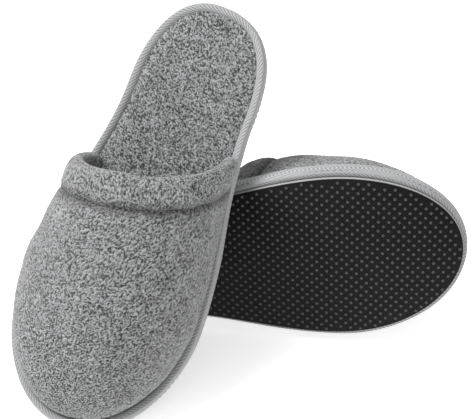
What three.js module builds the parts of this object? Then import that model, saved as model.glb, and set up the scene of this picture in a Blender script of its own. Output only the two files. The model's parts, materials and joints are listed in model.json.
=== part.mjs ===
// A pair of closed-toe terry spa slippers, in millimetres, +Z up.
// One slipper lies on its side, sole towards -Y; the other stands toe down and rests on its edge.
// The origin is on the floor, under the middle of the pair.
import * as THREE from 'three';

// Driving dimensions of one slipper.
const LENGTH = 264;               // along the sole, over the binding
const BALL_WIDTH = 110;           // over the binding, at the widest
const HEEL_WIDTH = 76;            // over the binding
const BALL_FROM_TOE = 78;         // toe tip to the widest place
const HEEL_ROUND = 58;            // heel tip to where the heel's round end stops
const TOE_FULLNESS = 2.0;         // exponent of the toe's outline, 2 is an ellipse
const HEEL_FULLNESS = 2.4;        // exponent of the heel's outline
const FLAT_LENGTH = 122;          // stretch from the heel that lies flat
const TOE_CURL = 22;              // degrees that the sole has turned up at the toe tip

// Thicknesses of the layers, from the ground up.
const GRIP_THICKNESS = 1.2;
const BACKING_THICKNESS = 1.0;
const TAPE_THICKNESS = 1.0;
const MIDSOLE_THICKNESS = 4.2;
const PAD_THICKNESS = 2.2;
const COVER_THICKNESS = 2.2;
const FIT = 0.3;                  // clearance between neighbouring pieces

// Edges, measured inward from the outside of the binding.
const GRIP_INSET = 2.6;
const BACKING_INSET = 1.8;
const TAPE_UNDERLAP = 8;          // width of tape under the midsole
const TAPE_OVERLAP = 4.5;         // width of tape on top of the footbed
const TAPE_ROUND = 0.8;           // how far the tape's two corners are rounded off

// The upper.
const VAMP_HEIGHT = 60;           // top of the upper over the footbed, at the opening
const VAMP_INSET = 0.8;           // foot of the upper, inward from the binding
const VAMP_ARCH = 2.1;            // exponent of the upper's cross section
const VAMP_BULGE = 6;             // how far the upper's sides swell outward, at the opening
const RIM_AT_SIDE = 92;           // opening, from the heel tip, where it meets the sole
const RIM_AT_MIDDLE = 106;        // opening, from the heel tip, over the middle of the foot
const TERRY_THICKNESS = 3.0;
const FOAM_THICKNESS = 2.5;
const LINING_THICKNESS = 1.0;
const CUFF_LENGTH = 19;           // width of the turned band around the opening
const CUFF_PROUD = 1.6;           // how far the band stands out from the upper
const CUFF_PLY = 2.4;
const WADDING_FIT = 0.7;          // clearance of the wadding inside the bent cuff
const RIM_SKEW = 14;              // its right end lies this much nearer the toe, its left end the heel
const LYING_RIM_PUSH = 16;        // how far the lying slipper's opening is pushed towards its toe
const RIM_FULLNESS = 1.5;         // exponent of the opening's line, higher keeps its ends straight
const THREAD = 0.7;

// How the pair is laid out.
const HEEL_REST = 88;             // stretch from the heel tip where a slipper on its side can touch down
const LEANING_HEADING = -115;     // degrees, heading of the leaning slipper's toe from +X
const LEANING_ROLL = -25;         // degrees, turn of the leaning slipper about its own length
const LEANER_TOE_X = 37.4;        // toe tip of the leaning slipper from the lying one's heel tip
const LEANER_TOE_Y = -102.7;
const RESTING_GAP = 0.5;          // between the leaning slipper's sole and the edge it rests on

// Fineness of the facets.
const HEEL_STEPS = 6;
const FLANK_STEPS = 6;
const TOE_STEPS = 9;
const ARCH_STEPS = 12;
const VAMP_STEPS = 9;
const CURL_PANELS = 12;
const LEVELLING_ROUNDS = 4;
const STEEPEST = 60;              // degrees, widest angle that the search looks at
const HALVINGS = 24;              // steps of the search for a balance
const EDGE_SPACING = 4;           // of the points that are tested where the slippers touch
const NEARBY = 0.5;               // step for measuring the direction of the upper's surface

const HALF_BALL = BALL_WIDTH / 2;
const HALF_HEEL = HEEL_WIDTH / 2;
const BALL_AT = LENGTH - BALL_FROM_TOE;
const EDGE_INSET = TAPE_THICKNESS + FIT;

// Heights over the ground of one slipper, with a clearance between layers.
const BACKING_LOW = GRIP_THICKNESS + FIT;
const TAPE_LOW = BACKING_LOW + BACKING_THICKNESS + FIT;
const MIDSOLE_SHOULDER = TAPE_LOW + TAPE_THICKNESS + FIT;
const MIDSOLE_TOP = MIDSOLE_SHOULDER + MIDSOLE_THICKNESS;
const PAD_LOW = MIDSOLE_TOP + FIT;
const PAD_TOP = PAD_LOW + PAD_THICKNESS;
const COVER_LOW = PAD_TOP + FIT;
const COVER_SHOULDER = COVER_LOW + COVER_THICKNESS - TAPE_THICKNESS;
const COVER_TOP = COVER_SHOULDER + FIT + TAPE_THICKNESS;
const TAPE_TOP = COVER_TOP;
const VAMP_FOOT = TAPE_TOP + FIT;
const VAMP_TIP = LENGTH - VAMP_INSET;

// A quarter of a superellipse, 0 at its tip to 1 at its widest.
const quarter = (reach, fullness) => (1 - Math.abs(1 - reach) ** fullness) ** (1 / fullness);
const ease = (x) => x * x * (3 - 2 * x);

// Half the width of the outline at a distance from the heel tip, shrunk evenly by an inset.
function halfWidth(s, inset) {
  if (s < HEEL_ROUND) {
    const reach = (s - inset) / (HEEL_ROUND - inset);
    return (HALF_HEEL - inset) * quarter(Math.max(reach, 0), HEEL_FULLNESS);
  }
  if (s > BALL_AT) {
    const reach = (LENGTH - inset - s) / (BALL_FROM_TOE - inset);
    return (HALF_BALL - inset) * quarter(Math.max(reach, 0), TOE_FULLNESS);
  }
  const along = (s - HEEL_ROUND) / (BALL_AT - HEEL_ROUND);
  return HALF_HEEL - inset + (HALF_BALL - HALF_HEEL) * ease(along);
}

// Stations from the heel tip to the toe tip of the outline at an inset, closer at the round ends.
function stations(inset) {
  const list = [];
  for (let i = 0; i < HEEL_STEPS; i += 1) {
    const turn = (i / HEEL_STEPS) * (Math.PI / 2);
    list.push(inset + (HEEL_ROUND - inset) * (1 - Math.cos(turn)));
  }
  for (let i = 0; i < FLANK_STEPS; i += 1) {
    list.push(HEEL_ROUND + ((BALL_AT - HEEL_ROUND) * i) / FLANK_STEPS);
  }
  for (let i = 0; i <= TOE_STEPS; i += 1) {
    const turn = (i / TOE_STEPS) * (Math.PI / 2);
    list.push(BALL_AT + (BALL_FROM_TOE - inset) * Math.sin(turn));
  }
  return list;
}

// Carries a point given along, across and over a flat sole to its place on the curled sole.
function place(s, t, n) {
  const curled = Math.max(s - FLAT_LENGTH, 0);
  const angle = (at) => THREE.MathUtils.degToRad(TOE_CURL) * (at / (LENGTH - FLAT_LENGTH)) ** 2;
  const step = curled / CURL_PANELS;
  let x = Math.min(s, FLAT_LENGTH);
  let z = 0;
  for (let i = 0; i < CURL_PANELS; i += 1) {
    const middle = angle((i + 0.5) * step);
    x += step * Math.cos(middle);
    z += step * Math.sin(middle);
  }
  const turn = angle(curled);
  return new THREE.Vector3(x - n * Math.sin(turn), t, z + n * Math.cos(turn));
}

// Collects triangles by vertex index, and turns them into an indexed geometry.
class Surface {
  constructor() {
    this.points = [];
    this.faces = [];
  }

  add(point) {
    this.points.push(point);
    return this.points.length - 1;
  }

  triangle(a, b, c) {
    this.faces.push(a, b, c);
  }

  quad(a, b, c, d) {
    this.triangle(a, b, c);
    this.triangle(a, c, d);
  }

  geometry() {
    const geometry = new THREE.BufferGeometry().setFromPoints(this.points);
    geometry.setIndex(this.faces);
    geometry.computeVertexNormals();
    return geometry;
  }
}

// One closed loop of the outline, at an inset and a height: heel tip, right side, toe tip, left side.
function addLoop(surface, inset, height) {
  const along = stations(inset);
  const loop = along.map((s) => surface.add(place(s, -halfWidth(s, inset), height)));
  for (let i = along.length - 2; i > 0; i -= 1) {
    loop.push(surface.add(place(along[i], halfWidth(along[i], inset), height)));
  }
  return loop;
}

function joinLoops(surface, low, high) {
  low.forEach((start, i) => {
    const next = (i + 1) % low.length;
    surface.quad(start, low[next], high[next], high[i]);
  });
}

// Fills a loop with strips straight across the sole, so that its flat stretch is one flat face.
function fillLoop(surface, loop, facingUp) {
  const face = (a, b, c) => (facingUp ? surface.triangle(a, b, c) : surface.triangle(a, c, b));
  const half = loop.length / 2;
  for (let i = 0; i < half; i += 1) {
    const left = (loop.length - i) % loop.length;
    if (i + 1 < half) {
      face(loop[i], loop[i + 1], loop[loop.length - i - 1]);
    }
    if (i > 0) {
      face(loop[i], loop[i + 1 < half ? loop.length - i - 1 : half], loop[left]);
    }
  }
}

// A sheet or board with the sole's outline; each ring is [inset, height], from the bottom up.
function board(rings) {
  const surface = new Surface();
  const loops = rings.map(([inset, height]) => addLoop(surface, inset, height));
  fillLoop(surface, loops[0], false);
  loops.slice(1).forEach((loop, i) => joinLoops(surface, loops[i], loop));
  fillLoop(surface, loops[loops.length - 1], true);
  return surface.geometry();
}

// A closed band that runs all the way round the edge; its rings go once around its section.
function edgeBand(rings) {
  const surface = new Surface();
  const loops = rings.map(([inset, height]) => addLoop(surface, inset, height));
  loops.forEach((loop, i) => joinLoops(surface, loop, loops[(i + 1) % loops.length]));
  return surface.geometry();
}

// The upper's outside over a flat sole: at a distance from the heel and an angle over the foot.
// Its sides swell out beyond the sole near the opening, and not at the toe.
function archOutside(s, angle) {
  const at = Math.min(s, VAMP_TIP);
  const turn = THREE.MathUtils.clamp(angle, 0, Math.PI);
  const reach = Math.max(at - RIM_AT_MIDDLE, 0) / (VAMP_TIP - RIM_AT_MIDDLE);
  const height = VAMP_HEIGHT * (1 - reach ** VAMP_ARCH) ** (1 / VAMP_ARCH);
  const across = Math.abs(Math.cos(turn)) ** (2 / VAMP_ARCH) * Math.sign(Math.cos(turn));
  const up = Math.sin(turn) ** (2 / VAMP_ARCH);
  const swell = VAMP_BULGE * (1 - reach) * Math.sin(2 * turn);
  return new THREE.Vector3(at, -halfWidth(at, VAMP_INSET) * across - swell, VAMP_FOOT + height * up);
}

// A point of the upper at a depth under its outside; the foot of the upper stays at one height.
function archPoint(s, angle, depth) {
  const along = archOutside(s + NEARBY, angle).sub(archOutside(s - NEARBY, angle));
  const turn = NEARBY / VAMP_HEIGHT;
  const around = archOutside(s, angle + turn).sub(archOutside(s, angle - turn));
  const inward = along.cross(around).negate();
  if (angle === 0 || angle === Math.PI) {
    inward.z = 0;
  }
  const point = archOutside(s, angle).addScaledVector(inward.normalize(), depth);
  return place(point.x, point.y, point.z);
}

const archAngle = (step) => (step === ARCH_STEPS ? Math.PI : (Math.PI * step) / ARCH_STEPS);
const rimRise = RIM_AT_MIDDLE - RIM_AT_SIDE;
const rimLevel = (angle) => RIM_AT_SIDE + rimRise * Math.sin(angle) ** RIM_FULLNESS;

// The opening's distance from the heel tip, pushed bodily towards the toe.
const rimAt = (angle, push) => rimLevel(angle) + push + RIM_SKEW * Math.cos(angle);

// One layer of the upper, from the cuff's seam to the toe, between two depths.
function vampLayer(outer, inner, push) {
  const surface = new Surface();
  const skin = (depth) => {
    const rows = [];
    for (let i = 0; i < VAMP_STEPS; i += 1) {
      const row = [];
      for (let j = 0; j <= ARCH_STEPS; j += 1) {
        const start = rimAt(archAngle(j), push) + CUFF_LENGTH + FIT;
        const s = start + (VAMP_TIP - start) * Math.sin((i / VAMP_STEPS) * (Math.PI / 2));
        row.push(surface.add(archPoint(s, archAngle(j), depth)));
      }
      rows.push(row);
    }
    const tip = surface.add(place(VAMP_TIP - depth, 0, VAMP_FOOT));
    return { rows, tip };
  };
  const out = skin(outer);
  const into = skin(inner);
  for (let j = 0; j < ARCH_STEPS; j += 1) {
    for (let i = 0; i + 1 < VAMP_STEPS; i += 1) {
      surface.quad(out.rows[i][j], out.rows[i + 1][j], out.rows[i + 1][j + 1], out.rows[i][j + 1]);
      surface.quad(into.rows[i][j], into.rows[i][j + 1], into.rows[i + 1][j + 1], into.rows[i + 1][j]);
    }
    const last = VAMP_STEPS - 1;
    surface.triangle(out.rows[last][j], out.tip, out.rows[last][j + 1]);
    surface.triangle(into.rows[last][j + 1], into.tip, into.rows[last][j]);
    surface.quad(out.rows[0][j], out.rows[0][j + 1], into.rows[0][j + 1], into.rows[0][j]);
  }
  const footEdge = (skinned, column) => [...skinned.rows.map((row) => row[column]), skinned.tip];
  const outRight = footEdge(out, 0);
  const inRight = footEdge(into, 0);
  const outLeft = footEdge(out, ARCH_STEPS);
  const inLeft = footEdge(into, ARCH_STEPS);
  for (let i = 0; i < VAMP_STEPS; i += 1) {
    surface.quad(outRight[i], inRight[i], inRight[i + 1], outRight[i + 1]);
    surface.quad(outLeft[i + 1], inLeft[i + 1], inLeft[i], outLeft[i]);
  }
  return surface.geometry();
}

// A band along the opening; its section is a ring of [distance from the rim, depth] points.
function rimBand(section, push) {
  const surface = new Surface();
  const rows = [];
  for (let j = 0; j <= ARCH_STEPS; j += 1) {
    const angle = archAngle(j);
    const rim = rimAt(angle, push);
    rows.push(section.map(([from, depth]) => surface.add(archPoint(rim + from, angle, depth))));
  }
  const count = section.length;
  for (let j = 0; j < ARCH_STEPS; j += 1) {
    for (let k = 0; k < count; k += 1) {
      const next = (k + 1) % count;
      surface.quad(rows[j][k], rows[j + 1][k], rows[j + 1][next], rows[j][next]);
    }
  }
  const outline = section.map(([from, depth]) => new THREE.Vector2(from, depth));
  THREE.ShapeUtils.triangulateShape(outline, []).forEach(([a, b, c]) => {
    surface.triangle(rows[0][a], rows[0][c], rows[0][b]);
    surface.triangle(rows[ARCH_STEPS][a], rows[ARCH_STEPS][b], rows[ARCH_STEPS][c]);
  });
  return surface.geometry();
}

function outsole() {
  return board([[GRIP_INSET, 0], [GRIP_INSET, GRIP_THICKNESS]]);
}

function outsoleBacking() {
  return board([[BACKING_INSET, BACKING_LOW], [BACKING_INSET, BACKING_LOW + BACKING_THICKNESS]]);
}

// The midsole is rebated underneath for the tape's lower edge.
function midsole() {
  const core = TAPE_UNDERLAP + FIT;
  return board([
    [core, TAPE_LOW],
    [core, MIDSOLE_SHOULDER],
    [EDGE_INSET, MIDSOLE_SHOULDER],
    [EDGE_INSET, MIDSOLE_TOP],
  ]);
}

function footbedPad() {
  return board([[EDGE_INSET, PAD_LOW], [EDGE_INSET, PAD_TOP]]);
}

// The terry cover rises inside the tape's upper edge.
function footbedCover() {
  const inside = TAPE_OVERLAP + FIT;
  return board([
    [EDGE_INSET, COVER_LOW],
    [EDGE_INSET, COVER_SHOULDER],
    [inside, COVER_SHOULDER],
    [inside, COVER_TOP],
  ]);
}

// Twill tape folded round the edge of the sole, open towards the middle.
function bindingTape() {
  return edgeBand([
    [TAPE_UNDERLAP, TAPE_LOW],
    [TAPE_ROUND, TAPE_LOW],
    [0, TAPE_LOW + 2 * TAPE_ROUND],
    [0, TAPE_TOP - 2 * TAPE_ROUND],
    [TAPE_ROUND, TAPE_TOP],
    [TAPE_OVERLAP, TAPE_TOP],
    [TAPE_OVERLAP, TAPE_TOP - TAPE_THICKNESS],
    [TAPE_THICKNESS, TAPE_TOP - TAPE_THICKNESS],
    [TAPE_THICKNESS, TAPE_LOW + TAPE_THICKNESS],
    [TAPE_UNDERLAP, TAPE_LOW + TAPE_THICKNESS],
  ]);
}

// The line of stitching that closes the tape, just under its upper corner.
function bindingThread() {
  const low = TAPE_TOP - THREAD - FIT;
  const inside = -FIT;
  return edgeBand([
    [inside, low],
    [inside - THREAD, low],
    [inside - THREAD, low + THREAD],
    [inside, low + THREAD],
  ]);
}

const vampTerry = (push) => vampLayer(0, TERRY_THICKNESS, push);
const FOAM_DEPTH = TERRY_THICKNESS + FIT;
const vampFoam = (push) => vampLayer(FOAM_DEPTH, FOAM_DEPTH + FOAM_THICKNESS, push);
const LINING_DEPTH = FOAM_DEPTH + FOAM_THICKNESS + FIT;
const vampLining = (push) => vampLayer(LINING_DEPTH, LINING_DEPTH + LINING_THICKNESS, push);
const CUFF_INSIDE = LINING_DEPTH + LINING_THICKNESS;

// The cuff is a band of terry folded over at the rim, open towards the toe.
function cuffTerry(push) {
  return rimBand([
    [CUFF_PLY, -CUFF_PROUD],
    [0, CUFF_PLY - CUFF_PROUD],
    [0, CUFF_INSIDE - CUFF_PLY],
    [CUFF_PLY, CUFF_INSIDE],
    [CUFF_LENGTH, CUFF_INSIDE],
    [CUFF_LENGTH, CUFF_INSIDE - CUFF_PLY],
    [CUFF_PLY, CUFF_INSIDE - CUFF_PLY],
    [CUFF_PLY, CUFF_PLY - CUFF_PROUD],
    [CUFF_LENGTH, CUFF_PLY - CUFF_PROUD],
    [CUFF_LENGTH, -CUFF_PROUD],
  ], push);
}

function cuffWadding(push) {
  const near = CUFF_PLY + WADDING_FIT;
  const far = CUFF_LENGTH - WADDING_FIT;
  const shallow = CUFF_PLY - CUFF_PROUD + WADDING_FIT;
  const deep = CUFF_INSIDE - CUFF_PLY - WADDING_FIT;
  return rimBand([[near, shallow], [near, deep], [far, deep], [far, shallow]], push);
}

// The thread lies in the groove where the cuff meets the upper.
function cuffThread(push) {
  const near = CUFF_LENGTH + FIT;
  return rimBand([
    [near, -FIT - THREAD],
    [near, -FIT],
    [near + THREAD, -FIT],
    [near + THREAD, -FIT - THREAD],
  ], push);
}

const fabric = (color) => new THREE.MeshStandardMaterial({ color, roughness: 0.95, metalness: 0 });
const materials = {
  grip: new THREE.MeshStandardMaterial({ color: 0x1d1e20, roughness: 0.8, metalness: 0 }),
  felt: fabric(0xbdbfc1),
  tape: fabric(0xa9abae),
  foam: fabric(0xe6e4de),
  terry: fabric(0x8f9194),
  lining: fabric(0x9a9c9f),
  thread: fabric(0x6f7174),
};

const pieces = [
  ['outsole_grip', outsole, materials.grip],
  ['outsole_backing', outsoleBacking, materials.felt],
  ['binding_tape', bindingTape, materials.tape],
  ['midsole_foam', midsole, materials.foam],
  ['footbed_pad', footbedPad, materials.foam],
  ['footbed_terry', footbedCover, materials.terry],
  ['vamp_terry', vampTerry, materials.terry],
  ['vamp_foam', vampFoam, materials.foam],
  ['vamp_lining', vampLining, materials.lining],
  ['cuff_terry', cuffTerry, materials.terry],
  ['cuff_wadding', cuffWadding, materials.foam],
  ['binding_thread', bindingThread, materials.thread],
  ['cuff_thread', cuffThread, materials.thread],
];

// One slipper, in its own frame: heel tip at the origin, toe along +X, sole on the XY plane.
function slipper(prefix, push) {
  const group = new THREE.Group();
  pieces.forEach(([name, make, material]) => {
    const mesh = new THREE.Mesh(make(push), material);
    mesh.name = `${prefix}_${name}`;
    group.add(mesh);
  });
  return group;
}

// Every vertex of a group's meshes, in its parent's frame.
function vertices(group) {
  group.updateMatrixWorld(true);
  const list = [];
  group.traverse((item) => {
    if (!item.isMesh) {
      return;
    }
    const position = item.geometry.getAttribute('position');
    for (let i = 0; i < position.count; i += 1) {
      list.push(new THREE.Vector3().fromBufferAttribute(position, i).applyMatrix4(item.matrixWorld));
    }
  });
  return list;
}

// Points along the edges of a group's meshes, no further apart than a spacing, in its parent's frame.
function edgePoints(group, spacing) {
  group.updateMatrixWorld(true);
  const list = [];
  group.traverse((item) => {
    if (!item.isMesh) {
      return;
    }
    const { position } = item.geometry.attributes;
    const index = item.geometry.getIndex();
    const corner = (i) => {
      const point = new THREE.Vector3().fromBufferAttribute(position, index.getX(i));
      return point.applyMatrix4(item.matrixWorld);
    };
    for (let i = 0; i < index.count; i += 1) {
      const start = corner(i);
      const end = corner(i % 3 === 2 ? i - 2 : i + 1);
      const count = Math.ceil(start.distanceTo(end) / spacing);
      for (let k = 0; k < count; k += 1) {
        list.push(start.clone().lerp(end, k / count));
      }
    }
  });
  return list;
}

// The value between two bounds at which a rising measure passes zero.
function balance(low, high, measure) {
  let from = low;
  let to = high;
  for (let i = 0; i < HALVINGS; i += 1) {
    const middle = (from + to) / 2;
    if (measure(middle) < 0) {
      from = middle;
    } else {
      to = middle;
    }
  }
  return (from + to) / 2;
}

const lowestPoint = (points) => Math.min(...points.map((point) => point.z));

// Lays a slipper on its left edge: it leans back on its upper, and touches at ball and heel.
function layOnSide(group) {
  const points = vertices(group);
  const isUpper = points.map((point) => point.z > 2 * TAPE_TOP && point.x > RIM_AT_SIDE);
  const isHeel = points.map((point) => point.x < HEEL_REST);
  const turned = (lean, dip) => {
    const side = new THREE.Matrix4().makeRotationX(-THREE.MathUtils.degToRad(90 + lean));
    const nod = new THREE.Matrix4().makeRotationY(THREE.MathUtils.degToRad(dip));
    return nod.multiply(side);
  };
  const low = (matrix, flags, flag) => {
    const chosen = points.filter((point, i) => flags[i] === flag);
    return lowestPoint(chosen.map((point) => point.clone().applyMatrix4(matrix)));
  };
  let lean = 0;
  let dip = 0;
  for (let round = 0; round < LEVELLING_ROUNDS; round += 1) {
    lean = balance(0, STEEPEST, (angle) => {
      const matrix = turned(angle, dip);
      return low(matrix, isUpper, false) - low(matrix, isUpper, true);
    });
    dip = balance(-STEEPEST, STEEPEST, (angle) => {
      const matrix = turned(lean, angle);
      return low(matrix, isHeel, true) - low(matrix, isHeel, false);
    });
  }
  group.applyMatrix4(turned(lean, dip));
  group.position.z -= lowestPoint(vertices(group));
}

// How far a point lies under a slipper's curled underside, in that slipper's own frame.
function depthUnder(point) {
  let depth = -Infinity;
  for (let i = 0; i <= CURL_PANELS; i += 1) {
    const s = FLAT_LENGTH + ((LENGTH - FLAT_LENGTH) * i) / CURL_PANELS;
    const foot = place(s, 0, 0);
    const over = place(s, 0, 1).sub(foot);
    depth = Math.max(depth, -over.dot(new THREE.Vector3(point.x, 0, point.z).sub(foot)));
  }
  return depth;
}

// Stands a slipper on its toe, with its sole resting on the edge of the lying one.
function leanOn(group, support) {
  const own = vertices(group);
  const under = edgePoints(support, EDGE_SPACING);
  const roll = new THREE.Matrix4().makeRotationX(THREE.MathUtils.degToRad(LEANING_ROLL));
  const toe = place(LENGTH, 0, 0);
  const turned = (pitch) => {
    const matrix = new THREE.Matrix4().makeRotationZ(THREE.MathUtils.degToRad(LEANING_HEADING));
    matrix.multiply(new THREE.Matrix4().makeRotationY(THREE.MathUtils.degToRad(pitch)));
    matrix.multiply(roll);
    const low = lowestPoint(own.map((point) => point.clone().applyMatrix4(matrix)));
    const tip = toe.clone().applyMatrix4(matrix);
    return matrix.setPosition(LEANER_TOE_X - tip.x, LEANER_TOE_Y - tip.y, -low);
  };
  const isBelow = ({ x, y }) => x > 0 && x < LENGTH && Math.abs(y) < halfWidth(x, 0);
  const clearance = (matrix) => {
    const inverse = matrix.clone().invert();
    const covered = under.map((point) => point.clone().applyMatrix4(inverse)).filter(isBelow);
    return Math.min(...covered.map(depthUnder), LENGTH);
  };
  const pitch = balance(0, STEEPEST, (angle) => clearance(turned(angle)) - RESTING_GAP);
  group.applyMatrix4(turned(pitch));
}

const lying = slipper('lying', LYING_RIM_PUSH);
layOnSide(lying);
const leaning = slipper('leaning', 0);
leanOn(leaning, lying);

// The origin goes on the floor, under the middle of the pair's box.
const pair = new THREE.Group();
pair.add(lying, leaning);
const box = new THREE.Box3().setFromObject(pair, true);
const middle = box.getCenter(new THREE.Vector3());
pair.position.set(-middle.x, -middle.y, -box.min.z);
pair.updateMatrixWorld(true);

export default pair;
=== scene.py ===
"""A pair of grey terry spa slippers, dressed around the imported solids. Lengths are in metres."""
import json
import math

import bpy
import numpy as np
from mathutils import Matrix, Vector


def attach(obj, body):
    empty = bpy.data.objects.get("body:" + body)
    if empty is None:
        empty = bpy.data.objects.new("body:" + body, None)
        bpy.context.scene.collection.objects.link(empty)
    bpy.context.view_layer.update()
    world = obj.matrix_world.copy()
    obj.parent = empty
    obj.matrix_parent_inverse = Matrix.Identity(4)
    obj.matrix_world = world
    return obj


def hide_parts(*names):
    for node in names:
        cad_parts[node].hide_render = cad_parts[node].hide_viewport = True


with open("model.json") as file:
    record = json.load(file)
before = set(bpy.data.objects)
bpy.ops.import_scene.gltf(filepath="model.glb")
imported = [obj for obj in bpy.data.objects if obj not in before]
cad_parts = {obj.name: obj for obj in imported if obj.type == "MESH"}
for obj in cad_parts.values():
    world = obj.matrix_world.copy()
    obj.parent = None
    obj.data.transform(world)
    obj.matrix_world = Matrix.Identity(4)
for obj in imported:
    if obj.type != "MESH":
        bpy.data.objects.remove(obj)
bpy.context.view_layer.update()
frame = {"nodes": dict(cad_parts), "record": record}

# The outline and layers of one slipper, as the part has them.
LENGTH = 0.264
HALF_BALL = 0.055
HALF_HEEL = 0.038
BALL_FROM_TOE = 0.078
HEEL_ROUND = 0.058
TOE_FULLNESS = 2.0
HEEL_FULLNESS = 2.4
FLAT_LENGTH = 0.122
TOE_CURL = math.radians(22)
GRIP_INSET = 0.0026
FELT_INSET = 0.0018
GRIP_TOP = 0.0012
FELT_LOW = 0.0015
FELT_TOP = 0.0025
TAPE_LOW = 0.0028
TAPE_TOP = 0.0136
MOUNT_AT = 0.061                  # the outsole's mount lies this far from the heel tip

# The upper.
VAMP_HEIGHT = 0.060
VAMP_INSET = 0.0042               # the padded skin stands back from the binding at the toe
VAMP_FLARE = 0.0034               # and comes back out by this much at the opening
VAMP_ARCH = 2.1
VAMP_BULGE = 0.006
VAMP_FOOT = TAPE_TOP + 0.0003
VAMP_TIP = LENGTH - VAMP_INSET
RIM_AT_SIDE = 0.092
RIM_AT_MIDDLE = 0.106
RIM_SKEW = 0.014
RIM_PUSH = {"lying": 0.016, "leaning": 0.0}    # of the opening, towards the toe
RIM_FULLNESS = 1.5
CUFF_LENGTH = 0.019
UPPER_THICKNESS = 0.0071
LINING_THICKNESS = 0.0008
SKIN_THICKNESS = 0.0056           # terry and foam together

# Soft detail.
TAPE_SWELL = 0.0012               # how far the folded tape swells beyond the outline
TAPE_DEPTH = 0.0045               # from the outline in to where the tape's section ends
RIB_PITCH = 0.0025
RIB_HEIGHT = 0.00032
LOOP_PITCH = 0.00090              # between the loops of the terry
LOOP_HEIGHT = 0.0008
DOT_PITCH = 0.006                 # along a row; rows lie half as far apart
DOT_RADIUS = 0.00100
DOT_HEIGHT = 0.00045
DOT_TURN = math.radians(10)       # of the rows from the slipper's length
STITCH_PITCH = 0.0036
STITCH_RADIUS = 0.00035
COVER_DIP = 0.0026                # the footbed's edge lies this far under the tape's top
COVER_DOME = 0.0022               # and its middle rises by this much
COVER_DEPTH = 0.0042              # from the tape's top down to the cover's underside
EDGE_FALL = 0.006                 # width over which a soft piece falls away to its edge
GROOVE_DEPTH = 0.0030             # of the seam between cuff and upper
GROOVE_WIDTH = 0.007
FLOOR_CLEARANCE = 0.0001
REST_CLEARANCE = 0.0004


# ---- shape of one slipper, in its own frame: heel tip at the origin, toe along +X ----

def quarter(reach, fullness):
    return (1 - np.abs(1 - np.clip(reach, 0, 1)) ** fullness) ** (1 / fullness)


def half_width(s, inset):
    """Half the width of the sole's outline at a distance from the heel tip."""
    heel = (HALF_HEEL - inset) * quarter((s - inset) / (HEEL_ROUND - inset), HEEL_FULLNESS)
    toe_reach = (LENGTH - inset - s) / (BALL_FROM_TOE - inset)
    toe = (HALF_BALL - inset) * quarter(toe_reach, TOE_FULLNESS)
    along = np.clip((s - HEEL_ROUND) / (LENGTH - BALL_FROM_TOE - HEEL_ROUND), 0, 1)
    flank = HALF_HEEL - inset + (HALF_BALL - HALF_HEEL) * along * along * (3 - 2 * along)
    return np.where(s < HEEL_ROUND, heel, np.where(s > LENGTH - BALL_FROM_TOE, toe, flank))


CURL_S = np.linspace(-0.02, LENGTH + 0.02, 1200)
CURL_ANGLE = TOE_CURL * (np.maximum(CURL_S - FLAT_LENGTH, 0) / (LENGTH - FLAT_LENGTH)) ** 2
CURL_STEP = np.diff(CURL_S, prepend=CURL_S[0])
CURL_X = CURL_S[0] + np.cumsum(np.cos(CURL_ANGLE) * CURL_STEP)
CURL_Z = np.cumsum(np.sin(CURL_ANGLE) * CURL_STEP)


def place(s, t, n):
    """Carries points along, across and over a flat sole to the curled sole."""
    s, t, n = np.broadcast_arrays(s, t, n)
    angle = np.interp(s, CURL_S, CURL_ANGLE)
    x = np.interp(s, CURL_S, CURL_X) - n * np.sin(angle)
    z = np.interp(s, CURL_S, CURL_Z) + n * np.cos(angle)
    return np.stack([x, t, z], -1)


def outline(count):
    """Points evenly spaced round the outline, with their outward directions: (s, t, out_s, out_t)."""
    turn = np.linspace(0, np.pi, 4000)
    s = LENGTH * (1 - np.cos(turn)) / 2
    right = np.stack([s, -half_width(s, 0)], -1)
    left = np.stack([s[::-1], half_width(s[::-1], 0)], -1)[1:]
    ring = np.concatenate([right, left])
    run = np.concatenate([[0], np.cumsum(np.linalg.norm(np.diff(ring, axis=0), axis=1))])
    at = np.linspace(0, run[-1], count, endpoint=False)
    s_at, t_at = np.interp(at, run, ring[:, 0]), np.interp(at, run, ring[:, 1])
    ds = np.roll(s_at, -1) - np.roll(s_at, 1)
    dt = np.roll(t_at, -1) - np.roll(t_at, 1)
    size = np.hypot(ds, dt)
    return s_at, t_at, dt / size, -ds / size, at


def arch_outside(s, angle):
    at = np.minimum(s, VAMP_TIP)
    turn = np.clip(angle, 0, np.pi)
    reach = np.maximum(at - RIM_AT_MIDDLE, 0) / (VAMP_TIP - RIM_AT_MIDDLE)
    height = VAMP_HEIGHT * (1 - reach ** VAMP_ARCH) ** (1 / VAMP_ARCH)
    across = np.abs(np.cos(turn)) ** (2 / VAMP_ARCH) * np.sign(np.cos(turn))
    up = np.sin(turn) ** (2 / VAMP_ARCH)
    swell = VAMP_BULGE * (1 - reach) * np.sin(2 * turn)
    side = -(half_width(at, VAMP_INSET) + VAMP_FLARE * (1 - reach)) * across - swell
    return np.stack(np.broadcast_arrays(at, side, VAMP_FOOT + height * up), -1)


def arch_point(s, angle, depth):
    """Points of the upper at a depth under its outside, on the curled sole."""
    near, turn = 0.0005, 0.008
    along = arch_outside(s + near, angle) - arch_outside(s - near, angle)
    around = arch_outside(s, angle + turn) - arch_outside(s, angle - turn)
    inward = -np.cross(along, around)
    size = np.linalg.norm(inward, axis=-1, keepdims=True)
    point = arch_outside(s, angle) + inward / np.maximum(size, 1e-12) * np.asarray(depth)[..., None]
    point[..., 2] = np.maximum(point[..., 2], VAMP_FOOT - 0.002)
    return place(point[..., 0], point[..., 1], point[..., 2])


def rim_at(angle, push):
    level = RIM_AT_SIDE + (RIM_AT_MIDDLE - RIM_AT_SIDE) * np.sin(angle) ** RIM_FULLNESS
    return level + push + RIM_SKEW * np.cos(angle)


# ---- fine surface detail ----

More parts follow.
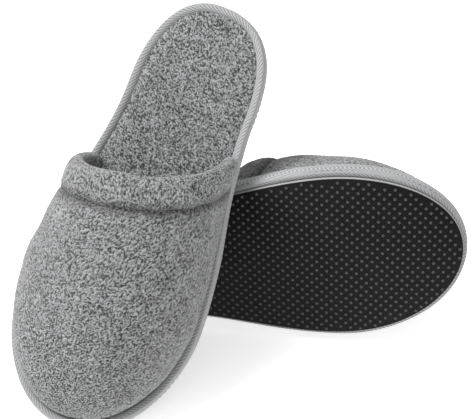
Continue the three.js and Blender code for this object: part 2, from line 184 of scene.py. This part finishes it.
def hashed(cells, salt):
    """Repeatable numbers from 0 to 1 for whole-number cells."""
    mixed = np.sin(cells @ np.array([127.1, 311.7, 74.7]) + salt * 53.3) * 43758.5453
    return mixed - np.floor(mixed)


def loops(points, pitch):
    """Height from 0 to 1 of terry loops: one bean-shaped bump, turned at random, in each cell."""
    scaled = points / pitch
    home = np.floor(scaled)
    best = np.zeros(len(points))
    for dx in (-1, 0, 1):
        for dy in (-1, 0, 1):
            for dz in (-1, 0, 1):
                cell = home + np.array([dx, dy, dz])
                jitter = np.stack([hashed(cell, k) for k in (1, 2, 3)], -1)
                away = scaled - cell - jitter
                axis = np.stack([hashed(cell, k) for k in (4, 5, 6)], -1) - 0.5
                axis /= np.linalg.norm(axis, axis=-1, keepdims=True) + 1e-9
                along = (away * axis).sum(-1)
                across = (away ** 2).sum(-1) - along ** 2
                bump = 1 - across / 0.30 - along ** 2 / 0.95
                best = np.maximum(best, np.sqrt(np.clip(bump, 0, 1)) * (0.7 + 0.3 * jitter[:, 0]))
    return best


def waves(points, length, salt):
    """Smooth unevenness from -1 to 1."""
    total = np.zeros(len(points))
    for k in range(5):
        direction = np.array([math.sin(salt + 1.7 * k), math.cos(2.3 * k + salt), math.sin(3.1 * k)])
        total += np.sin(points @ direction * (2 * np.pi / length) * (1 + 0.23 * k) + 1.9 * k + salt)
    return total / 5


def grid_normals(grid):
    along = np.gradient(grid, axis=0)
    around = np.gradient(grid, axis=1)
    normal = np.cross(along, around)
    return normal / (np.linalg.norm(normal, axis=-1, keepdims=True) + 1e-12)


# ---- meshes ----

def make_mesh(name, points, faces, pile_and_shade=None):
    mesh = bpy.data.meshes.new(name)
    mesh.from_pydata(points.tolist(), [], faces.tolist() if isinstance(faces, np.ndarray) else faces)
    # the stored loop or rib height is read by the materials as painted shade, darker in the gaps between
    # loops and ribs
    if pile_and_shade is not None:
        layer = mesh.attributes.new("pile_and_shade", "FLOAT", "POINT")
        layer.data.foreach_set("value", pile_and_shade.astype(np.float32))
    mesh.polygons.foreach_set("use_smooth", [True] * len(mesh.polygons))
    mesh.validate()
    piece = bpy.data.objects.new(name, mesh)
    bpy.context.scene.collection.objects.link(piece)
    return piece


def grid_faces(rows, columns, wrap_rows, wrap_columns):
    row = np.arange(rows if wrap_rows else rows - 1)
    column = np.arange(columns if wrap_columns else columns - 1)
    i, j = np.meshgrid(row, column, indexing="ij")
    i2, j2 = (i + 1) % rows, (j + 1) % columns
    quads = np.stack([i * columns + j, i2 * columns + j, i2 * columns + j2, i * columns + j2], -1)
    return quads.reshape(-1, 4)


def skin_faces(along, around):
    """Faces of a closed skin: a grid outside, its copy inside, and the strips that join their edges."""
    count = along * around
    grid = grid_faces(along, around, False, False)
    rim = []
    for k in range(around - 1):
        rim.append([k, k + 1, k + 1 + count, k + count])
        last = (along - 1) * around + k
        rim.append([last + 1, last, last + count, last + 1 + count])
    for k in range(along - 1):
        a0, a1 = k * around, (k + 1) * around
        rim.append([a1, a0, a0 + count, a1 + count])
        b0, b1 = a0 + around - 1, a1 + around - 1
        rim.append([b0, b1, b1 + count, b0 + count])
    return grid[:, ::-1].tolist() + (grid + count).tolist() + rim


class Slipper:
    """One slipper's place in the pair, worked out from its outsole's mount and toe tip."""

    def __init__(self, name):
        self.name = name
        self.body = f"{name}_slipper"
        self.push = RIM_PUSH[name]
        mount = next(m for m in frame["record"]["mounts"] if m["name"] == f"{name}_outsole")
        at, up = np.array(mount["pos_m"]), -np.array(mount["axis"])
        vertices = frame["nodes"][f"{name}_outsole_grip"].data.vertices
        corners = np.array([v.co for v in vertices])
        tip = corners[np.argmax(np.linalg.norm(corners - at, axis=1))]
        along = tip - at
        along -= up * (along @ up)
        along /= np.linalg.norm(along)
        self.axes = np.stack([along, np.cross(up, along), up])
        self.origin = at - along * MOUNT_AT

    def out(self, points):
        """From the slipper's own frame to the pair's."""
        return points.reshape(-1, 3) @ self.axes + self.origin

    def own(self, points):
        return (points - self.origin) @ self.axes.T


def settle(slipper, points, other):
    """Presses soft pieces flat where they meet the floor or the other slipper's sole."""
    if slipper.name == "lying":
        local = other.own(points)
        under = np.interp(local[:, 0], CURL_X, CURL_Z) - REST_CLEARANCE
        inside = (local[:, 0] > 0) & (local[:, 0] < LENGTH - 0.002)
        inside &= np.abs(local[:, 1]) < half_width(local[:, 0], 0) + 0.002
        # only what already lies on the sole's outer side is pressed
        near = inside & (local[:, 2] > under) & (local[:, 2] < under + 0.005)
        local[near, 2] = under[near]
        points = local @ other.axes + other.origin
    points[:, 2] = np.maximum(points[:, 2], FLOOR_CLEARANCE)
    return points


def finish_piece(piece, slipper, slot, material, *nodes):
    piece.data.materials.append(material)
    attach(piece, slipper.body)
    if nodes:
        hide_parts(*[f"{slipper.name}_{node}" for node in nodes])
    return piece


def board_piece(slipper, other, name, inset, low, high, count=420):
    """A thin board with the sole's outline, rounded at its lower rim."""
    s, t, out_s, out_t, _ = outline(count)
    rim = min(0.0003, (high - low) / 3)
    rings = [(inset + 0.6 * rim, low), (inset, low + rim), (inset, high)]
    points = [place(s - out_s * i, t - out_t * i, h) for i, h in rings]
    faces = np.concatenate([
        np.stack([np.arange(count) + k * count, (np.arange(count) + 1) % count + k * count,
                    (np.arange(count) + 1) % count + (k + 1) * count,
                    np.arange(count) + (k + 1) * count], -1) for k in range(2)
    ]).tolist()
    half = count // 2
    for base, flip in ((0, True), (2 * count, False)):
        for i in range(half):
            a, b = base + i, base + i + 1
            c, d = base + (count - i - 1) % count, base + (count - i) % count
            strip = list(dict.fromkeys([a, b, c, d]))
            if len(strip) > 2:
                faces.append(strip[::-1] if flip else strip)
    return make_mesh(f"{slipper.name}_{name}", settle(slipper, slipper.out(np.concatenate(points)), other),
                     faces)


def dots(slipper, other):
    """Raised rubber dots, in staggered rows turned a little from the slipper's length."""
    reach = int(LENGTH / DOT_PITCH) + 8
    row, column = np.meshgrid(np.arange(-2 * reach, 2 * reach), np.arange(-reach, reach), indexing="ij")
    u = (column + 0.5 * (row % 2)) * DOT_PITCH
    v = row * DOT_PITCH / 2
    s = LENGTH / 2 + u * math.cos(DOT_TURN) - v * math.sin(DOT_TURN)
    t = u * math.sin(DOT_TURN) + v * math.cos(DOT_TURN)
    inset = GRIP_INSET + DOT_RADIUS + 0.0006
    keep = (s > inset) & (s < LENGTH - inset) & (np.abs(t) < half_width(s, inset))
    s, t = s[keep], t[keep]
    sides = 10
    ring = np.arange(sides) * 2 * np.pi / sides
    levels = [(1.0, 0.00005), (0.88, -0.55), (0.5, -0.9)]
    ds = [r * DOT_RADIUS * np.cos(ring) for r, _ in levels]
    dt = [r * DOT_RADIUS * np.sin(ring) for r, _ in levels]
    heights = [h if h > 0 else h * DOT_HEIGHT for _, h in levels]
    per = sides * len(levels) + 1
    points = np.zeros((len(s), per, 3))
    for k in range(len(levels)):
        points[:, k * sides:(k + 1) * sides] = place(
            s[:, None] + ds[k], t[:, None] + dt[k], heights[k])
    points[:, -1] = place(s, t, -DOT_HEIGHT)
    faces = []
    one = []
    for k in range(len(levels) - 1):
        for i in range(sides):
            j = (i + 1) % sides
            one.append([k * sides + i, (k + 1) * sides + i, (k + 1) * sides + j, k * sides + j])
    top = (len(levels) - 1) * sides
    one += [[top + i, per - 1, top + (i + 1) % sides] for i in range(sides)]
    for d in range(len(s)):
        faces += [[d * per + i for i in face] for face in one]
    points = settle(slipper, slipper.out(points), other)
    return make_mesh(f"{slipper.name}_outsole_dots", points, faces)


def tape(slipper, other, count=1500, around=40):
    """Twill tape folded round the edge, swollen between its two edges, with slanting ribs."""
    s, t, out_s, out_t, run = outline(count)
    turn = np.arange(around) * 2 * np.pi / around
    low, high = TAPE_LOW + 0.0003, TAPE_TOP + 0.0004
    middle, rise = (low + high) / 2, (high - low) / 2
    cosine, sine = np.cos(turn), np.sin(turn)
    reach = np.sign(cosine) * np.abs(cosine) ** 0.8
    deep = np.where(reach > 0, reach * TAPE_SWELL, reach * TAPE_DEPTH)
    height = middle + rise * np.sign(sine) * np.abs(sine) ** 0.8
    total = run[-1] + run[1]
    ribs = round(total / RIB_PITCH)
    slant = 1.9 * rise * turn / np.pi * 2
    phase = 2 * np.pi * ribs * run[:, None] / total + 2 * np.pi * slant[None, :] / RIB_PITCH
    rib = 0.5 + 0.5 * np.cos(phase)
    lumps = 0.0003 * np.sin(run / total * 2 * np.pi * 11)[:, None] * np.maximum(cosine, 0)
    grow = (deep + np.maximum(cosine, 0) * RIB_HEIGHT * rib + lumps)
    ss = s[:, None] + out_s[:, None] * grow
    tt = t[:, None] + out_t[:, None] * grow
    points = place(ss, tt, height[None, :] + RIB_HEIGHT * rib * sine[None, :])
    faces = grid_faces(count, around, True, True)
    points = settle(slipper, slipper.out(points), other)
    # the rib height is also stored as painted shade in the valleys between the ribs
    return make_mesh(f"{slipper.name}_binding_tape_folded", points, faces[:, ::-1], rib.reshape(-1))


def stitches(slipper, other, name, centres, directions, normals, length):
    """A row of short raised stitches."""
    sides, rings = 8, 6
    ring = np.arange(sides) * 2 * np.pi / sides
    ends = np.linspace(-1, 1, rings + 1)
    across = np.cross(directions, normals)
    points = []
    for e in ends:
        radius = STITCH_RADIUS * math.sqrt(max(1 - e * e * 0.92, 0.02))
        for a in ring:
            points.append(centres + directions * (e * length / 2)
                          + radius * (math.cos(a) * across + math.sin(a) * normals))
    points = np.stack(points, 1)
    one = []
    for k in range(rings):
        for i in range(sides):
            j = (i + 1) % sides
            one.append([k * sides + i, k * sides + j, (k + 1) * sides + j, (k + 1) * sides + i])
    one += [list(range(sides))[::-1], [rings * sides + i for i in range(sides)]]
    per = sides * (rings + 1)
    faces = [[d * per + i for i in face] for d in range(len(centres)) for face in one]
    return make_mesh(f"{slipper.name}_{name}", settle(slipper, points.reshape(-1, 3), other), faces)


def unit(v):
    return v / (np.linalg.norm(v, axis=-1, keepdims=True) + 1e-12)


def binding_stitches(slipper, other):
    """Stitches through the tape, close to its lower edge."""
    total = outline(400)[4]
    count = int((total[-1] + total[1]) / STITCH_PITCH)
    s, t, out_s, out_t, _ = outline(count)
    grow = TAPE_SWELL * 0.80
    centres = slipper.out(place(s + out_s * grow, t + out_t * grow, TAPE_LOW + 0.0022))
    directions = unit(np.roll(centres, -1, 0) - np.roll(centres, 1, 0))
    outward = slipper.out(place(s + out_s * (grow + 0.001), t + out_t * (grow + 0.001), TAPE_LOW + 0.0014))
    return stitches(slipper, other, "binding_stitches", centres, directions,
                    unit(outward - centres), STITCH_PITCH * 0.62)


def cuff_stitches(slipper, other):
    """Stitches in the groove where the cuff meets the upper."""
    angle = np.linspace(0.06, np.pi - 0.06, 58)
    seam = rim_at(angle, slipper.push) + CUFF_LENGTH + 0.0003
    centres = slipper.out(arch_point(seam, angle, np.full_like(seam, 0.0006)))
    deeper = slipper.out(arch_point(seam, angle, np.full_like(seam, 0.0016)))
    directions = unit(np.gradient(centres, axis=0))
    return stitches(slipper, other, "cuff_stitches", centres, directions,
                    unit(centres - deeper), 0.0016)


def footbed(slipper, other, cell=0.00055):
    """The terry cover of the footbed, dished a little and tucked under the tape."""
    s, t = np.meshgrid(np.arange(0.001, LENGTH, cell), np.arange(-HALF_BALL, HALF_BALL, cell),
                       indexing="ij")
    inset = TAPE_DEPTH * 0.55
    inside = (s > inset) & (s < LENGTH - inset) & (np.abs(t) < half_width(s, inset))
    quads = inside[:-1, :-1] & inside[1:, :-1] & inside[1:, 1:] & inside[:-1, 1:]
    columns = s.shape[1]
    i, j = np.nonzero(quads)
    faces = np.stack([i * columns + j, (i + 1) * columns + j, (i + 1) * columns + j + 1,
                      i * columns + j + 1], -1)
    used, faces = np.unique(faces, return_inverse=True)
    faces = faces.reshape(-1, 4)
    s, t = s.reshape(-1)[used], t.reshape(-1)[used]
    room = np.clip((half_width(s, inset) - np.abs(t)) / EDGE_FALL, 0, 1)
    ends = np.clip(np.minimum(s - inset, LENGTH - inset - s) / EDGE_FALL, 0, 1)
    edge = np.minimum(room, ends)
    flat = np.stack([s, t, 0 * s], -1)
    pile_and_shade = loops(flat, LOOP_PITCH)
    lift = TAPE_TOP - COVER_DIP + COVER_DOME * edge ** 0.5
    lift += 0.0005 * waves(flat, 0.05, 2.0) * edge + LOOP_HEIGHT * pile_and_shade * np.minimum(edge * 3, 1)
    top = place(s, t, lift)
    bottom = place(s, t, TAPE_TOP - COVER_DEPTH)
    count = len(top)
    directed = np.concatenate([np.stack([faces[:, k], faces[:, (k + 1) % 4]], -1) for k in range(4)])
    keys = {(int(a), int(b)) for a, b in directed}
    edges = [(a, b) for a, b in keys if (b, a) not in keys]
    wall = [[b, a, a + count, b + count] for a, b in sorted(edges)]
    every = faces.tolist() + (faces[:, ::-1] + count).tolist() + wall
    points = settle(slipper, slipper.out(np.concatenate([top, bottom])), other)
    # the loop height is stored as painted shade between the loops; the hidden underside gets zero
    return make_mesh(f"{slipper.name}_footbed_cover", points, every, np.concatenate([pile_and_shade, pile_and_shade * 0]))


def vamp(slipper, other, along=280, around=360):
    """The upper's terry skin: outside with its loops, and a smooth inside, joined at the edges."""
    angle = np.linspace(0, np.pi, around)
    start = rim_at(angle, slipper.push) + CUFF_LENGTH - 0.0012
    share = np.sin(np.linspace(0, np.pi / 2, along))
    share[-1] = 0.9995
    s = start[None, :] + (VAMP_TIP - start[None, :]) * share[:, None]
    a = np.broadcast_to(angle, s.shape)
    plain = arch_point(s, a, np.zeros_like(s))
    normal = grid_normals(plain)
    flat = plain.reshape(-1, 3)
    pile_and_shade = loops(flat, LOOP_PITCH)
    foot = np.clip(np.minimum(a, np.pi - a) / 0.12, 0, 1).reshape(-1)
    groove = np.clip((s - start[None, :]) / GROOVE_WIDTH, 0, 1).reshape(-1)
    lift = LOOP_HEIGHT * pile_and_shade * np.minimum(foot * 2 + 0.2, 1) - GROOVE_DEPTH * (1 - groove) ** 2
    lift += 0.0011 * waves(flat, 0.055, 1.0 + 60 * slipper.push) * foot * groove
    upward = np.sign((normal * np.array([0, 0, 1])).sum(-1).mean())
    outside = flat + normal.reshape(-1, 3) * upward * lift[:, None]
    inside = arch_point(s, a, np.full_like(s, SKIN_THICKNESS)).reshape(-1, 3)
    every = skin_faces(along, around)
    points = settle(slipper, slipper.out(np.concatenate([outside, inside])), other)
    # the loop height, weakened towards the groove at the cuff, is stored as painted shade between the
    # loops and in the groove
    return make_mesh(f"{slipper.name}_upper_terry", points, every,
                     np.concatenate([pile_and_shade * (0.25 + 0.75 * groove), pile_and_shade * 0]))


def cuff(slipper, other, along=380, around=112):
    """The turned cuff: a plump band of terry, pinched where it is sewn to the upper."""
    angle = np.linspace(0, np.pi, along)
    turn = np.arange(around) * 2 * np.pi / around
    cosine, sine = np.cos(turn), np.sin(turn)
    middle = UPPER_THICKNESS / 2 - 0.0006
    half = UPPER_THICKNESS / 2 + 0.0010
    reach = CUFF_LENGTH / 2 * (1 - np.sign(cosine) * np.abs(cosine) ** 0.75)
    depth = middle - half * np.sign(sine) * np.abs(sine) ** 0.75
    s = rim_at(angle, slipper.push)[:, None] + reach[None, :]
    a = np.broadcast_to(angle[:, None], s.shape)
    d = np.broadcast_to(depth[None, :], s.shape)
    plain = arch_point(s, a, d)
    flat = plain.reshape(-1, 3)
    pile_and_shade = loops(flat, LOOP_PITCH)
    core = arch_point(rim_at(angle, slipper.push)[:, None] + CUFF_LENGTH / 2 + 0 * s, a,
                      np.full_like(s, middle))
    outward = unit(plain - core).reshape(-1, 3)
    puff = 0.0009 * waves(flat, 0.03, 3.0 + 60 * slipper.push)
    shown = (0.35 + 0.65 * np.clip(sine + 0.3, 0, 1))[None, :] + 0 * s
    points = flat + outward * (LOOP_HEIGHT * pile_and_shade * shown.reshape(-1) + puff)[:, None]
    faces = grid_faces(along, around, False, True).tolist()
    faces.append(list(range(around)))
    faces.append([(along - 1) * around + k for k in range(around)][::-1])
    points = settle(slipper, slipper.out(points), other)
    # painted shade: the loop height is weakened next to the seam with the upper, darkening the cuff there
    tucked = np.clip((CUFF_LENGTH - reach) / EDGE_FALL, 0, 1)[None, :] + 0 * s
    return make_mesh(f"{slipper.name}_cuff_band", points, faces, pile_and_shade * (0.3 + 0.7 * tucked.reshape(-1)))


def lining(slipper, other, along=90, around=120):
    """The knitted lining, a thin skin on the inside of the upper."""
    angle = np.linspace(0.02, np.pi - 0.02, around)
    start = rim_at(angle, slipper.push) + CUFF_LENGTH * 0.75
    share = np.linspace(0, 0.93, along)
    s = start[None, :] + (VAMP_TIP - 0.008 - start[None, :]) * share[:, None]
    a = np.broadcast_to(angle, s.shape)
    outer = arch_point(s, a, np.full_like(s, UPPER_THICKNESS - LINING_THICKNESS)).reshape(-1, 3)
    inner = arch_point(s, a, np.full_like(s, UPPER_THICKNESS)).reshape(-1, 3)
    every = skin_faces(along, around)
    grid = slipper.out(inner).reshape(along, around, 3)
    one = np.linalg.norm(np.cross(grid[1:, :-1] - grid[:-1, :-1], grid[:-1, 1:] - grid[:-1, :-1]), axis=-1)
    width = np.linalg.norm(np.diff(grid[0], axis=0), axis=1).sum()
    length = np.linalg.norm(np.diff(grid[:, around // 2], axis=0), axis=1).sum()
    points = settle(slipper, slipper.out(np.concatenate([outer, inner])), other)
    piece = make_mesh(f"{slipper.name}_upper_lining", points, every)
    return piece, (float(width), float(length)), float(one.sum())


# ---- materials ----

class Nodes:
    """A small helper for building one material's nodes."""

    def __init__(self, name):
        self.material = bpy.data.materials.new(name)
        self.material.use_nodes = True
        self.tree = self.material.node_tree
        self.shader = self.tree.nodes["Principled BSDF"]
        self.place = self.add("ShaderNodeTexCoord").outputs["Object"]

    def add(self, kind, **settings):
        node = self.tree.nodes.new(kind)
        for key, value in settings.items():
            setattr(node, key, value)
        return node

    def link(self, source, target):
        self.tree.links.new(source, target)

    def noise(self, scale, detail=2.0):
        node = self.add("ShaderNodeTexNoise")
        node.inputs["Scale"].default_value = scale
        node.inputs["Detail"].default_value = detail
        self.link(self.place, node.inputs["Vector"])
        return node.outputs["Fac"]

    def cells(self, scale):
        node = self.add("ShaderNodeTexVoronoi")
        node.inputs["Scale"].default_value = scale
        self.link(self.place, node.inputs["Vector"])
        return node.outputs["Distance"]

    def math(self, operation, a, b):
        node = self.add("ShaderNodeMath", operation=operation)
        for socket, value in zip(node.inputs, (a, b)):
            if isinstance(value, (int, float)):
                socket.default_value = value
            else:
                self.link(value, socket)
        return node.outputs[0]

    def attribute(self, name):
        return self.add("ShaderNodeAttribute", attribute_name=name).outputs["Fac"]

    def colours(self, factor, *stops):
        ramp = self.add("ShaderNodeValToRGB")
        elements = ramp.color_ramp.elements
        while len(elements) < len(stops):
            elements.new(0.5)
        for element, (position, grey, warmth) in zip(elements, stops):
            element.position = position
            element.color = (grey * (1 + warmth), grey, grey * (1 - warmth), 1)
        self.link(factor, ramp.inputs["Fac"])
        self.link(ramp.outputs["Color"], self.shader.inputs["Base Color"])

    def bump(self, height, distance, strength=1.0):
        node = self.add("ShaderNodeBump")
        node.inputs["Distance"].default_value = distance
        node.inputs["Strength"].default_value = strength
        self.link(height, node.inputs["Height"])
        self.link(node.outputs["Normal"], self.shader.inputs["Normal"])

    def rough(self, factor, low, high):
        node = self.add("ShaderNodeMapRange")
        node.inputs["To Min"].default_value = low
        node.inputs["To Max"].default_value = high
        self.link(factor, node.inputs["Value"])
        self.link(node.outputs["Result"], self.shader.inputs["Roughness"])

    def set(self, **values):
        for key, value in values.items():
            self.shader.inputs[key.replace("_", " ")].default_value = value


def terry_material():
    n = Nodes("grey_terry")
    fibre = n.noise(2600, 4)
    strands = n.noise(1350, 3)
    patch = n.noise(90, 2)
    # painted shade: a low stored height turns the gaps between the loops and the seam groove near black
    shade = n.math("ADD", n.math("MULTIPLY", n.attribute("pile_and_shade"), 0.50), n.math("MULTIPLY", fibre, 0.20))
    shade = n.math("ADD", shade, n.math("MULTIPLY", strands, 0.50))
    shade = n.math("ADD", shade, n.math("MULTIPLY", patch, 0.12))
    n.colours(shade, (0.30, 0.008, -0.01), (0.50, 0.10, -0.012), (0.72, 0.30, -0.012),
              (1.0, 0.62, -0.01))
    n.bump(n.math("ADD", strands, n.math("MULTIPLY", fibre, 0.4)), 0.0010, 0.9)
    n.rough(fibre, 0.85, 1.0)
    n.set(Sheen_Weight=0.20, Sheen_Roughness=0.5, Specular_IOR_Level=0.1)
    return n.material


def twill_material():
    n = Nodes("grey_twill_tape")
    fibre = n.noise(3800, 3)
    patch = n.noise(40, 2)
    # painted shade: the stored rib height makes the valleys between the ribs darker
    shade = n.math("ADD", n.math("MULTIPLY", n.attribute("pile_and_shade"), 0.55), n.math("MULTIPLY", fibre, 0.30))
    shade = n.math("ADD", shade, n.math("MULTIPLY", patch, 0.15))
    n.colours(shade, (0.18, 0.14, -0.015), (0.50, 0.33, -0.012), (0.85, 0.55, -0.01))
    n.bump(fibre, 0.0003, 0.5)
    n.rough(fibre, 0.75, 0.95)
    n.set(Sheen_Weight=0.12, Specular_IOR_Level=0.2)
    return n.material


def grip_material():
    n = Nodes("black_grip_fabric")
    weave = n.cells(1500)
    patch = n.noise(60, 4)
    n.colours(n.math("ADD", n.math("MULTIPLY", weave, 0.6), n.math("MULTIPLY", patch, 0.4)),
              (0.15, 0.0024, 0.0), (0.5, 0.005, 0.0), (0.9, 0.010, 0.02))
    n.bump(weave, 0.0003, 0.6)
    n.rough(patch, 0.65, 0.85)
    n.set(Specular_IOR_Level=0.15)
    return n.material


def dot_material():
    n = Nodes("grey_rubber_dots")
    speck = n.noise(1800, 3)
    n.colours(speck, (0.3, 0.024, 0.03), (0.7, 0.055, 0.03))
    n.bump(speck, 0.0001, 0.4)
    n.rough(speck, 0.6, 0.8)
    return n.material


def felt_material():
    n = Nodes("pale_felt")
    fibre = n.noise(2200, 5)
    n.colours(fibre, (0.3, 0.28, 0.0), (0.7, 0.48, 0.0))
    n.bump(fibre, 0.0004, 0.6)
    n.rough(fibre, 0.85, 1.0)
    return n.material


def thread_material():
    n = Nodes("grey_thread")
    twist = n.noise(4200, 2)
    n.colours(twist, (0.3, 0.10, -0.01), (0.7, 0.24, -0.01))
    n.bump(twist, 0.0002, 0.6)
    n.rough(twist, 0.6, 0.85)
    return n.material


def lining_material():
    n = Nodes("grey_knit_lining")
    knit = n.cells(900)
    fibre = n.noise(3000, 3)
    n.colours(n.math("ADD", n.math("MULTIPLY", knit, 0.5), n.math("MULTIPLY", fibre, 0.5)),
              (0.2, 0.16, -0.01), (0.8, 0.34, -0.01))
    n.bump(knit, 0.0004, 0.6)
    n.rough(fibre, 0.8, 0.95)
    return n.material


def foam_material():
    n = Nodes("off_white_foam")
    pores = n.cells(1100)
    n.colours(pores, (0.1, 0.50, 0.03), (0.6, 0.74, 0.03))
    n.bump(pores, 0.0004, 0.7)
    n.rough(pores, 0.85, 1.0)
    return n.material


materials = {
    "terry": terry_material(),
    "tape": twill_material(),
    "grip": grip_material(),
    "felt": felt_material(),
    "thread": thread_material(),
    "lining": lining_material(),
    "foam": foam_material(),
}
rubber = dot_material()


# ---- the pair ----

def dress(slipper, other):
    """Makes one slipper's visible pieces, and finishes the solids that stay inside it."""
    outsole = board_piece(slipper, other, "outsole_fabric", GRIP_INSET, 0, GRIP_TOP)
    finish_piece(outsole, slipper, "grip", materials["grip"], "outsole_grip")
    finish_piece(dots(slipper, other), slipper, "grip", rubber)
    felt = board_piece(slipper, other, "outsole_felt", FELT_INSET + 0.0003, FELT_LOW - 0.0003, FELT_TOP)
    finish_piece(felt, slipper, "felt", materials["felt"], "outsole_backing")
    finish_piece(tape(slipper, other), slipper, "tape", materials["tape"], "binding_tape")
    finish_piece(binding_stitches(slipper, other), slipper, "thread", materials["thread"],
                 "binding_thread")
    finish_piece(cuff_stitches(slipper, other), slipper, "thread", materials["thread"], "cuff_thread")
    bed = finish_piece(footbed(slipper, other), slipper, "terry", materials["terry"], "footbed_terry")
    upper = finish_piece(vamp(slipper, other), slipper, "terry", materials["terry"], "vamp_terry",
                         "vamp_foam")
    band = finish_piece(cuff(slipper, other), slipper, "terry", materials["terry"], "cuff_terry",
                        "cuff_wadding")
    skin, flat, area = lining(slipper, other)
    finish_piece(skin, slipper, "lining", materials["lining"], "vamp_lining")
    for node in ("midsole_foam", "footbed_pad"):
        solid = frame["nodes"][f"{slipper.name}_{node}"]
        solid.data.materials.clear()
        solid.data.materials.append(materials["foam"])


slippers = {name: Slipper(name) for name in RIM_PUSH}
dress(slippers["lying"], slippers["leaning"])
dress(slippers["leaning"], slippers["lying"])


# ---- camera, light and floor ----

CAMERA_TARGET = Vector((-0.0159, 0.0592, 0.0617))
CAMERA_DISTANCE = 0.716
CAMERA_AZIMUTH = math.radians(19.45)
CAMERA_ELEVATION = math.radians(37.09)
CAMERA_ROLL = math.radians(6.72)
CAMERA_LENS = 85.2


def add_camera():
    data = bpy.data.cameras.new("camera")
    data.sensor_width = 36
    data.lens = CAMERA_LENS
    camera = bpy.data.objects.new("camera", data)
    flat = math.cos(CAMERA_ELEVATION)
    back = Vector((math.sin(CAMERA_AZIMUTH) * flat, -math.cos(CAMERA_AZIMUTH) * flat,
                   math.sin(CAMERA_ELEVATION)))
    turn = (-back).to_track_quat("-Z", "Y").to_matrix().to_4x4() @ Matrix.Rotation(-CAMERA_ROLL, 4, "Z")
    camera.matrix_world = Matrix.Translation(CAMERA_TARGET + back * CAMERA_DISTANCE) @ turn
    bpy.context.scene.collection.objects.link(camera)
    bpy.context.scene.camera = camera


def add_light(name, at, size, power):
    data = bpy.data.lights.new(name, "AREA")
    data.size = size
    data.energy = power
    light = bpy.data.objects.new(name, data)
    light.location = at
    light.rotation_euler = (Vector((0, 0, 0.05)) - Vector(at)).to_track_quat("-Z", "Y").to_euler()
    bpy.context.scene.collection.objects.link(light)


def add_floor():
    mesh = bpy.data.meshes.new("floor")
    size = 6
    mesh.from_pydata([(-size, -size, 0), (size, -size, 0), (size, size, 0), (-size, size, 0)], [],
                     [(0, 1, 2, 3)])
    floor = bpy.data.objects.new("floor", mesh)
    material = bpy.data.materials.new("pale_floor")
    material.use_nodes = True
    shader = material.node_tree.nodes["Principled BSDF"]
    shader.inputs["Base Color"].default_value = (0.93, 0.93, 0.93, 1)
    shader.inputs["Roughness"].default_value = 0.9
    shader.inputs["Emission Color"].default_value = (1, 1, 1, 1)
    shader.inputs["Emission Strength"].default_value = 0.55
    mesh.materials.append(material)
    bpy.context.scene.collection.objects.link(floor)


add_camera()
add_light("key", (-0.8, -0.2, 1.7), 1.0, 40)
add_light("fill", (1.0, -1.0, 1.0), 1.4, 1.5)
add_floor()
world = bpy.data.worlds.new("studio")
world.use_nodes = True
world.node_tree.nodes["Background"].inputs["Color"].default_value = (1, 1, 1, 1)
world.node_tree.nodes["Background"].inputs["Strength"].default_value = 0.62
bpy.context.scene.world = world
bpy.context.scene.view_settings.view_transform = "Standard"
